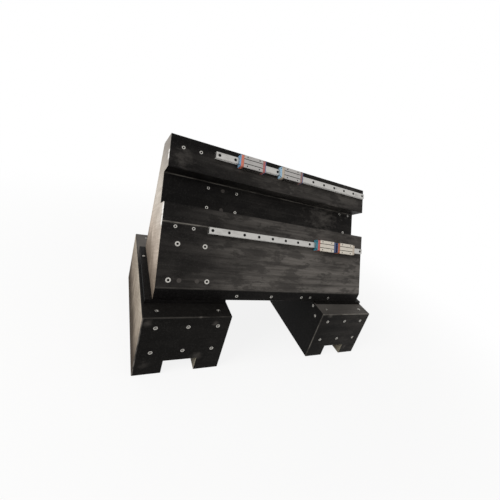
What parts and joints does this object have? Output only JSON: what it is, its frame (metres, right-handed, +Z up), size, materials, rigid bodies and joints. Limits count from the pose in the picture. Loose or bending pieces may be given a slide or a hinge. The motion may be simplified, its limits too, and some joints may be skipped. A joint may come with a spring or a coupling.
{
  "type": "granite gantry stage",
  "caption": "Black granite bridge of an xy stage: grooved legs, spacer pads and a leaning cross beam with ball rails and sliding carriages.",
  "frame": {"origin": "on the floor, in the middle of the two legs in width and depth", "axes": "+X along the cross beam to the right as seen from its railed front, +Y towards the back, +Z up"},
  "size_m": [0.982, 0.62, 0.7519],
  "materials": {
    "beam_granite": "lapped black granite, semi matt, dusty",
    "leg_granite": "lapped black granite, semi matt, with one tan sawn side",
    "pad_granite": "lapped black granite, semi matt",
    "rail_steel": "ground hardened steel",
    "black_bolts": "black oxide on alloy steel",
    "carriage_steel": "ground steel",
    "end_cap": "moulded orange-red plastic",
    "end_seal": "blue rubber bonded to a thin steel plate",
    "ball_steel": "polished bearing steel"
  },
  "bodies": {
    "stand": {"left_leg": "leg_granite", "right_leg": "leg_granite", "left_pad": "pad_granite", "right_pad": "pad_granite", "cross_beam": "beam_granite", "hold_down_bolts": "black_bolts", "upper_rail": "rail_steel", "lower_rail": "rail_steel"},
    "upper_left_carriage": {"upper_left_block": "carriage_steel", "upper_left_end_caps": "end_cap", "upper_left_end_seals": "end_seal", "upper_left_ball_rows": "ball_steel"},
    "upper_right_carriage": {"upper_right_block": "carriage_steel", "upper_right_end_caps": "end_cap", "upper_right_end_seals": "end_seal", "upper_right_ball_rows": "ball_steel"},
    "lower_left_carriage": {"lower_left_block": "carriage_steel", "lower_left_end_caps": "end_cap", "lower_left_end_seals": "end_seal", "lower_left_ball_rows": "ball_steel"},
    "lower_right_carriage": {"lower_right_block": "carriage_steel", "lower_right_end_caps": "end_cap", "lower_right_end_seals": "end_seal", "lower_right_ball_rows": "ball_steel"}
  },
  "joints": [
    {"name": "upper_left_slide", "type": "slide", "parent": "stand", "child": "upper_left_carriage", "axis": [1, 0, 0], "range_m": [-0.0877, 0.0347]},
    {"name": "upper_right_slide", "type": "slide", "parent": "stand", "child": "upper_right_carriage", "axis": [1, 0, 0], "range_m": [-0.0347, 0.3767]},
    {"name": "lower_left_slide", "type": "slide", "parent": "stand", "child": "lower_left_carriage", "axis": [1, 0, 0], "range_m": [-0.4657, 0.0037]},
    {"name": "lower_right_slide", "type": "slide", "parent": "stand", "child": "lower_right_carriage", "axis": [1, 0, 0], "range_m": [-0.0037, 0.0607]}
  ]
}
